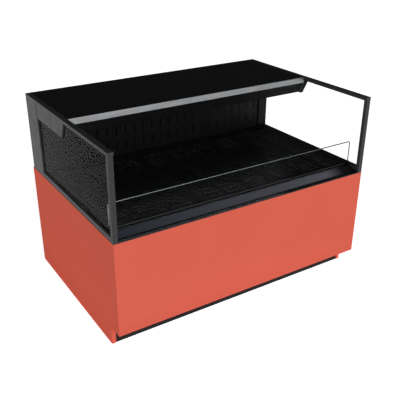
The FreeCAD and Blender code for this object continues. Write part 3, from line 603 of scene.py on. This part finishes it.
condenserPack = {
    "node": "condenser_coil", "name": "condenser", "bottom": 50 * mm,
    "finPitch": 2.4 * mm, "fin": 0.25 * mm, "finInset": 2 * mm, "finLift": mm, "waves": 7, "wave": 0.6 * mm,
    "tube": 4.8 * mm, "tubePitch": 24 * mm, "tubeRows": 9, "tubeColumns": 2, "columnPitch": 20 * mm,
    "plate": 1.2 * mm, "plateFold": 1.5 * mm, "flange": 9 * mm, "margin": 19 * mm,
}
evaporatorPack = {
    "node": "evaporator_coil", "name": "evaporator", "bottom": 384 * mm,
    "finPitch": 4.2 * mm, "fin": 0.3 * mm, "finInset": 2 * mm, "finLift": mm, "waves": 9, "wave": 0.8 * mm,
    "tube": 4.8 * mm, "tubePitch": 24 * mm, "tubeRows": 3, "tubeColumns": 5, "columnPitch": 25 * mm,
    "plate": 1.2 * mm, "plateFold": 1.5 * mm, "flange": 9 * mm, "margin": 19 * mm,
}


def makeFins(look, low, high):
    # one corrugated fin, repeated along the coil
    inset = look["finInset"]
    depth = high.y - low.y - 2 * inset
    step = depth / (look["waves"] + 1)
    start = low.y + inset
    fin = addBox(look["name"] + "Fins", (low.x, start, look["bottom"] + look["finLift"]),
                 (low.x + look["fin"], start + depth, high.z - inset))
    pickEdges(fin, lambda middle, along: abs(along.y) > 0.9)
    bpy.ops.mesh.subdivide(number_cuts=look["waves"])
    pickEdges(fin, lambda middle, along: abs(along.z) > 0.9 and round((middle.y - start) / step) % 2 == 1)
    bpy.ops.transform.translate(value=(look["wave"], 0, 0))
    bpy.ops.object.mode_set(mode="OBJECT")
    repeat(fin, int((high.x - low.x - look["wave"]) / look["finPitch"]), (look["finPitch"], 0, 0))
    finishPiece(fin, "cabinet", "finned_aluminium", finMetal, look["node"])


def addHairpin(name, place, look, side):
    # a return bend joins one tube to the next above it
    clearSelection()
    bpy.ops.mesh.primitive_circle_add(vertices=12, radius=look["tube"], location=place,
                                      rotation=(0, math.pi / 2, 0))
    bend = settle(name)
    pickAll(bend)
    bpy.ops.mesh.select_mode(type="EDGE")
    bpy.ops.mesh.select_all(action="SELECT")
    middle = (place[0], place[1], place[2] + look["tubePitch"] / 2)
    bpy.ops.mesh.spin(steps=8, angle=-side * math.pi, center=middle, axis=(0, 1, 0))
    bpy.ops.mesh.select_all(action="SELECT")
    bpy.ops.mesh.normals_make_consistent(inside=False)
    bpy.ops.object.mode_set(mode="OBJECT")
    return bend


def makeHairpins(look, low, high):
    bends = []
    rows, columns = look["tubeRows"], look["tubeColumns"]
    middleY = (low.y + high.y) / 2
    startY = middleY - (columns - 1) * look["columnPitch"] / 2
    startZ = (look["bottom"] + high.z) / 2 - (rows - 1) * look["tubePitch"] / 2
    for side, x, shift in ((-1, low.x, 0), (1, high.x, 1)):
        bend = addHairpin(look["name"] + "Bend", (x, startY, startZ + shift * look["tubePitch"]), look, side)
        repeat(bend, (rows - shift) // 2, (0, 0, 2 * look["tubePitch"]))
        repeat(bend, columns, (0, look["columnPitch"], 0))
        bends.append(bend)
    bends = joinPieces(look["name"] + "ReturnBends", bends)
    finishPiece(bends, "cabinet", "copper_tube", copperTube, look["node"])


def makeEndPlates(look, low, high):
    # folded plates hold the tubes and stand on the floor of the bay
    plates = []
    for side, x in ((-1, low.x), (1, high.x)):
        ends = sorted((x, x + side * look["flange"]))
        plate = addBox(look["name"] + "Plate", (ends[0], low.y, low.z), (ends[1], high.y, high.z))
        pickFaces(plate, lambda middle, normal: side * normal.x > 0.5)
        bpy.ops.mesh.delete(type="FACE")
        bevelEdges(plate, lambda middle, along: abs(middle.x - x) < near, look["plateFold"], 2)
        applyModifier(plate, "SOLIDIFY", thickness=look["plate"], offset=-1)
        plates.append(plate)
    plates = joinPieces(look["name"] + "EndPlates", plates)
    finishPiece(plates, "cabinet", "galvanised_steel", zincSheet, look["node"])


def makeCoil(look):
    low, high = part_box(look["node"])
    low.x += look["margin"]
    high.x -= look["margin"]
    makeFins(look, low, high)
    makeHairpins(look, low, high)
    makeEndPlates(look, low, high)


condenserFan = {
    "node": "condenser_fan_blade", "body": "condenser_fan", "joint": "condenser_fan_spin",
    "hub": 26 * mm, "hubHalf": 9 * mm, "tip": 105 * mm, "thick": 2.0 * mm, "shaft": 5 * mm,
    "blades": 5, "sweep": 50, "pitch": 26, "twist": 14, "round": 3 * mm, "rootSunk": 3 * mm,
    "sliver": mm,       # height of the first slice, which is spun into the blade
    "dish": 0.35, "dishDepth": 3 * mm, "shaftStart": 0.6, "shaftRound": 0.6 * mm,
}
evaporatorFanLeft = {
    "node": "evaporator_fan_blade_left", "body": "evaporator_fan_left", "joint": "evaporator_fan_left_spin",
    "hub": 15 * mm, "hubHalf": 9 * mm, "tip": 45 * mm, "thick": 1.5 * mm, "shaft": 3 * mm,
    "blades": 4, "sweep": 58, "pitch": 26, "twist": 12, "round": 2 * mm, "rootSunk": 3 * mm, "sliver": mm,
    "dish": 0.35, "dishDepth": 3 * mm, "shaftStart": 0.6, "shaftRound": 0.6 * mm,
}
evaporatorFanRight = {
    **evaporatorFanLeft,
    "node": "evaporator_fan_blade_right", "body": "evaporator_fan_right",
    "joint": "evaporator_fan_right_spin",
}


def makeBlade(look, centre):
    # a sector spun about the shaft, so that its tip follows the shroud, then twisted and pitched
    clearSelection()
    root, tip, sliver = look["hub"] - look["rootSunk"], look["tip"], look["sliver"]
    bpy.ops.mesh.primitive_cube_add(size=1, location=((root + tip) / 2, 0, -sliver / 2),
                                    scale=(tip - root, look["thick"], sliver))
    blade = settle("blade")
    pickEdges(blade, lambda middle, along: abs(along.x) > 0.9)
    bpy.ops.mesh.subdivide(number_cuts=5)
    pickFaces(blade, lambda middle, normal: normal.z > 0.9)
    bpy.ops.mesh.spin(steps=10, angle=-math.radians(look["sweep"]), center=(0, 0, 0), axis=(0, 1, 0))
    pickAll(blade)
    bpy.ops.mesh.normals_make_consistent(inside=False)
    bpy.ops.object.mode_set(mode="OBJECT")
    clearSelection()
    blade.select_set(True)
    bpy.context.view_layer.objects.active = blade
    blade.rotation_euler = (0, -math.radians(look["sweep"] / 2), 0)
    bpy.ops.object.transform_apply(rotation=True)
    applyModifier(blade, "SIMPLE_DEFORM", deform_method="TWIST", deform_axis="X",
                  angle=-math.radians(look["twist"]))
    clearSelection()
    blade.select_set(True)
    blade.rotation_euler = (math.radians(look["pitch"]), 0, 0)
    blade.location = centre
    bpy.ops.object.transform_apply(location=True, rotation=True)
    turnCopies(blade, look["blades"], centre, (0, 1, 0))
    return blade


def makeFan(look):
    centre = Vector(joints[look["joint"]]["pos_m"])
    half = Vector((0, look["hubHalf"], 0))
    end = Vector((centre.x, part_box(look["node"])[1].y, centre.z))
    hub = addRound("hub", look["hub"], centre - half, centre + half, 48)
    bevelEdges(hub, lambda middle, along: abs(along.y) < 0.5, look["round"], 3)
    pickFaces(hub, lambda middle, normal: normal.y < -0.99)
    bpy.ops.mesh.inset(thickness=look["dish"] * look["hub"])
    bpy.ops.transform.translate(value=(0, look["dishDepth"], 0))
    bpy.ops.object.mode_set(mode="OBJECT")
    shaft = addRound("shaft", look["shaft"], centre - look["shaftStart"] * half, end, 24)
    bevelEdges(shaft, lambda middle, along: abs(along.y) < 0.5, look["shaftRound"], 2)
    fan = joinPieces(look["node"] + "_moulded", [makeBlade(look, centre), hub, shaft])
    finishPiece(fan, look["body"], "black_nylon", nylon, look["node"])


fanGuard = {
    "wire": 1.6 * mm, "rings": (34 * mm, 54 * mm, 74 * mm, 94 * mm, 114 * mm), "spokes": 8,
    "ringBack": 6 * mm, "spokeBack": 9 * mm,    # behind the hub's rear face and the shroud
}


def makeFanGuard():
    centre = Vector(joints["condenser_fan_spin"]["pos_m"])
    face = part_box("fan_shroud")[1].y
    wire = fanGuard["wire"]
    ringPlace = Vector((centre.x, face + fanGuard["ringBack"], centre.z))
    parts = []
    for radius in fanGuard["rings"]:
        clearSelection()
        bpy.ops.mesh.primitive_torus_add(location=ringPlace, rotation=(math.pi / 2, 0, 0),
                                         major_radius=radius, minor_radius=wire,
                                         major_segments=72, minor_segments=8)
        parts.append(settle("ring"))
    back = face + fanGuard["spokeBack"]
    inner, outer = fanGuard["rings"][0] - wire, fanGuard["rings"][-1] + wire
    spoke = addRound("spoke", wire, (centre.x + inner, back, centre.z), (centre.x + outer, back, centre.z), 8)
    foot = addRound("foot", wire, (centre.x + outer, face, centre.z),
                    (centre.x + outer, back + wire, centre.z), 8)
    leg = joinPieces("leg", [spoke, foot])
    turnCopies(leg, fanGuard["spokes"], centre, (0, 1, 0))
    guard = joinPieces("condenserFanGuard", [leg] + parts)
    finishPiece(guard, "cabinet", "chromed_wire", zincPlate)


hermetic = {
    "radius": 92 * mm, "low": 62 * mm, "high": 270 * mm, "dome": 40 * mm,
    "weldHeight": 178 * mm, "weld": 3.5 * mm, "weldProud": 1.5 * mm, "weldRound": 1.4 * mm,
    "plateHalf": (104 * mm, 80 * mm), "plateLow": 51 * mm, "plateThick": 5 * mm, "plateRound": 14 * mm,
    "skirtRadius": 58 * mm, "skirtLow": 55 * mm, "skirtHigh": 80 * mm,
    "coverHalf": 30 * mm, "coverLow": 128 * mm, "coverHigh": 204 * mm,
    "coverSunk": 24 * mm, "coverReach": 121 * mm, "coverRound": 5 * mm,
}


def compressorCentre():
    low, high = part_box("compressor")
    return Vector((joints["condenser_fan_spin"]["pos_m"][0], (low.y + high.y) / 2, 0))


def makeShell(centre):
    # two drawn halves under a rounded dome, with the weld's bead around the middle
    up = Vector((0, 0, 1))
    radius, weld = hermetic["radius"], hermetic["weld"]
    shell = addRound("shell", radius - hermetic["weldProud"], centre + hermetic["low"] * up,
                     centre + hermetic["high"] * up, 64)
    bevelEdges(shell, lambda middle, along: abs(along.z) < 0.5, hermetic["dome"], 8)
    seam = addRound("seam", radius, centre + (hermetic["weldHeight"] - weld) * up,
                    centre + (hermetic["weldHeight"] + weld) * up, 64)
    bevelEdges(seam, lambda middle, along: abs(along.z) < 0.5, hermetic["weldRound"], 3)
    return [shell, seam]


def makeMountPlate(centre):
    up = Vector((0, 0, 1))
    width, depth = hermetic["plateHalf"]
    under = Vector((0, 0, hermetic["plateLow"]))
    plate = addBox("plate", centre + under - Vector((width, depth, 0)),
                   centre + under + Vector((width, depth, hermetic["plateThick"])))
    bevelEdges(plate, lambda middle, along: abs(along.z) > 0.9, hermetic["plateRound"], 4)
    skirt = addRound("skirt", hermetic["skirtRadius"], centre + hermetic["skirtLow"] * up,
                     centre + hermetic["skirtHigh"] * up, 48)
    return [plate, skirt]


def makeTerminalCover(centre):
    radius, half = hermetic["radius"], hermetic["coverHalf"]
    cover = addBox("cover", centre + Vector((radius - hermetic["coverSunk"], -half, hermetic["coverLow"])),
                   centre + Vector((hermetic["coverReach"], half, hermetic["coverHigh"])))
    bevelEdges(cover, lambda middle, along: middle.x > centre.x + radius, hermetic["coverRound"], 3)
    return [cover]


def makeCompressor():
    centre = compressorCentre()
    parts = makeShell(centre) + makeMountPlate(centre) + makeTerminalCover(centre)
    body = joinPieces("compressorShell", parts)
    finishPiece(body, "cabinet", "compressor_enamel", machineEnamel, "compressor")


rubberFoot = {
    "radius": 13 * mm, "place": (88 * mm, 64 * mm), "top": 50 * mm,
    "grooveLow": 36 * mm, "grooveHigh": 46 * mm, "waist": 0.78,
}


def makeGrommet(centre, x, y):
    # a rubber foot with a waist where the mount plate's stud holds it
    up = Vector((0, 0, 1))
    place = centre + Vector((x * rubberFoot["place"][0], y * rubberFoot["place"][1], 0))
    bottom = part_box("compressor")[0].z
    low, high = rubberFoot["grooveLow"], rubberFoot["grooveHigh"]
    grommet = addRound("grommet", rubberFoot["radius"], place + bottom * up,
                       place + rubberFoot["top"] * up, 32)
    pickFaces(grommet, lambda middle, normal: abs(normal.z) < 0.5)
    bpy.ops.mesh.subdivide(number_cuts=1)
    pickEdges(grommet, lambda middle, along: abs(along.z) < 0.5 and low < middle.z < high)
    waist = rubberFoot["waist"]
    bpy.ops.transform.resize(value=(waist, waist, 1), center_override=place + (low + high) / 2 * up)
    bpy.ops.object.mode_set(mode="OBJECT")
    return grommet


def makeGrommets():
    centre = compressorCentre()
    grommets = joinPieces("compressorGrommets", [makeGrommet(centre, x, y) for x in (-1, 1) for y in (-1, 1)])
    finishPiece(grommets, "cabinet", "black_rubber", rubber, "compressor")


deckLip = {
    "endGap": 26 * mm,      # clear of the guard's sockets
    "overhang": 0.4 * mm, "depth": 4.5 * mm, "low": 1.2 * mm, "high": 1.3 * mm, "round": 1.1 * mm,
}


def makeDeckLip():
    # a rolled edge strip that catches the light along the deck's nose
    low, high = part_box("deck_front_rail")
    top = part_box("deck_pan_middle")[1].z
    lip = addBox("deckLip", (low.x + deckLip["endGap"], low.y - deckLip["overhang"], top - deckLip["low"]),
                 (high.x - deckLip["endGap"], low.y + deckLip["depth"], top + deckLip["high"]))
    bevelEdges(lip, lambda middle, along: abs(along.x) > 0.9 and middle.z > top, deckLip["round"], 4)
    finishPiece(lip, "cabinet", "graphite_anodised", lipMetal)


ductLining = {
    "sideGap": 2 * mm, "low": 494 * mm, "high": 816 * mm, "sheet": 0.8 * mm,
    "backGap": 0.2 * mm, "beads": 12, "beadEdge": 3 * mm, "beadProud": 4 * mm,
}


def makeDuctLining():
    # a beaded sheet covers the foam behind the perforated back
    low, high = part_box("rear_insulation")
    front = low.y - 2 * ductLining["sheet"]
    sheet = addBox("ductLining", (low.x + ductLining["sideGap"], front, ductLining["low"]),
                   (high.x - ductLining["sideGap"], low.y - ductLining["backGap"], ductLining["high"]))
    pickFaces(sheet, lambda middle, normal: normal.y > 0.5)
    bpy.ops.mesh.delete(type="FACE")
    pickEdges(sheet, lambda middle, along: abs(along.x) > 0.9)
    bpy.ops.mesh.subdivide(number_cuts=2 * ductLining["beads"])
    pitch = (high.x - low.x - 2 * ductLining["sideGap"]) / (2 * ductLining["beads"] + 1)
    start = low.x + ductLining["sideGap"]
    pickFaces(sheet, lambda middle, normal: normal.y < -0.5 and int((middle.x - start) / pitch) % 2 == 1)
    bpy.ops.mesh.inset(thickness=ductLining["beadEdge"])
    bpy.ops.transform.translate(value=(0, -ductLining["beadProud"], 0))
    bpy.ops.object.mode_set(mode="OBJECT")
    finishPiece(sheet, "cabinet", "black_powder_coat", deckPaint)


print("pieces: deck lip and duct lining")
makeDeckLip()
makeDuctLining()
print("pieces: honeycomb and louvres")
makeHoneycomb()
makeLouvres(serviceLouvres, zincSheet)
makeLouvres(kickLouvres, kickPaint)
print("pieces: coils")
makeCoil(condenserPack)
makeCoil(evaporatorPack)
print("pieces: fans and compressor")
makeFan(condenserFan)
makeFan(evaporatorFanLeft)
makeFan(evaporatorFanRight)
makeFanGuard()
makeCompressor()
makeGrommets()

view = {
    "place": (-1.3597, -2.1443, 1.5642),
    "turn": 32.785,     # degrees from +Y towards +X
    "dip": 25.882,      # degrees below level
    "lean": 0.256,
    "lens": 54.98,
    "sensor": 36.0,
}


def makeCamera():
    bpy.ops.object.camera_add()
    camera = bpy.context.object
    camera.name = "shopCamera"
    camera.data.lens = view["lens"]
    camera.data.sensor_width = view["sensor"]
    turned = Matrix.Rotation(math.radians(-view["turn"]), 4, "Z")
    dipped = Matrix.Rotation(math.radians(90 - view["dip"]), 4, "X")
    leaned = Matrix.Rotation(math.radians(view["lean"]), 4, "Z")
    camera.matrix_world = Matrix.Translation(view["place"]) @ turned @ dipped @ leaned
    bpy.context.scene.camera = camera


studio = {
    "floorSize": 60.0,
    "floorGlow": 0.97,      # the floor is a lit white table, so that it stays pale under the case
    "floorShade": "#fafafa",
    "keyFrom": (0.25, -0.92, 0.24),
    "keyStrength": 1.6,
    "keySpread": 50.0,      # degrees across
    "sideFrom": (-0.97, -0.15, 0.15),
    "sideStrength": 0.68,
    "sideSpread": 50.0,
    "sky": 0.04,
}


def makeSun(name, source, strength, spread):
    bpy.ops.object.light_add(type="SUN")
    sun = bpy.context.object
    sun.name = name
    sun.data.energy = strength
    sun.data.angle = math.radians(spread)
    sun.rotation_euler = Vector(source).to_track_quat("Z", "Y").to_euler()


def makeStudio():
    floorHeight = cadBox[0][2] - 0.5 * mm
    bpy.ops.mesh.primitive_plane_add(size=studio["floorSize"], location=(0, 0, floorHeight))
    floor = bpy.context.object
    floor.name = "studioFloor"
    shade = linear(studio["floorShade"])
    material = startMaterial("studioFloor", {
        "Base Color": shade, "Roughness": 0.9, "Specular IOR Level": 0.1,
        "Emission Color": shade, "Emission Strength": studio["floorGlow"]})[0]
    floor.data.materials.append(material)
    makeSun("softKey", studio["keyFrom"], studio["keyStrength"], studio["keySpread"])
    makeSun("softSide", studio["sideFrom"], studio["sideStrength"], studio["sideSpread"])
    world = bpy.data.worlds.new("dimStudio")
    world.use_nodes = True
    world.node_tree.nodes["Background"].inputs["Color"].default_value = (1, 1, 1, 1)
    world.node_tree.nodes["Background"].inputs["Strength"].default_value = studio["sky"]
    bpy.context.scene.world = world
    bpy.context.scene.view_settings.view_transform = "Standard"


print("camera and studio")
makeCamera()
makeStudio()
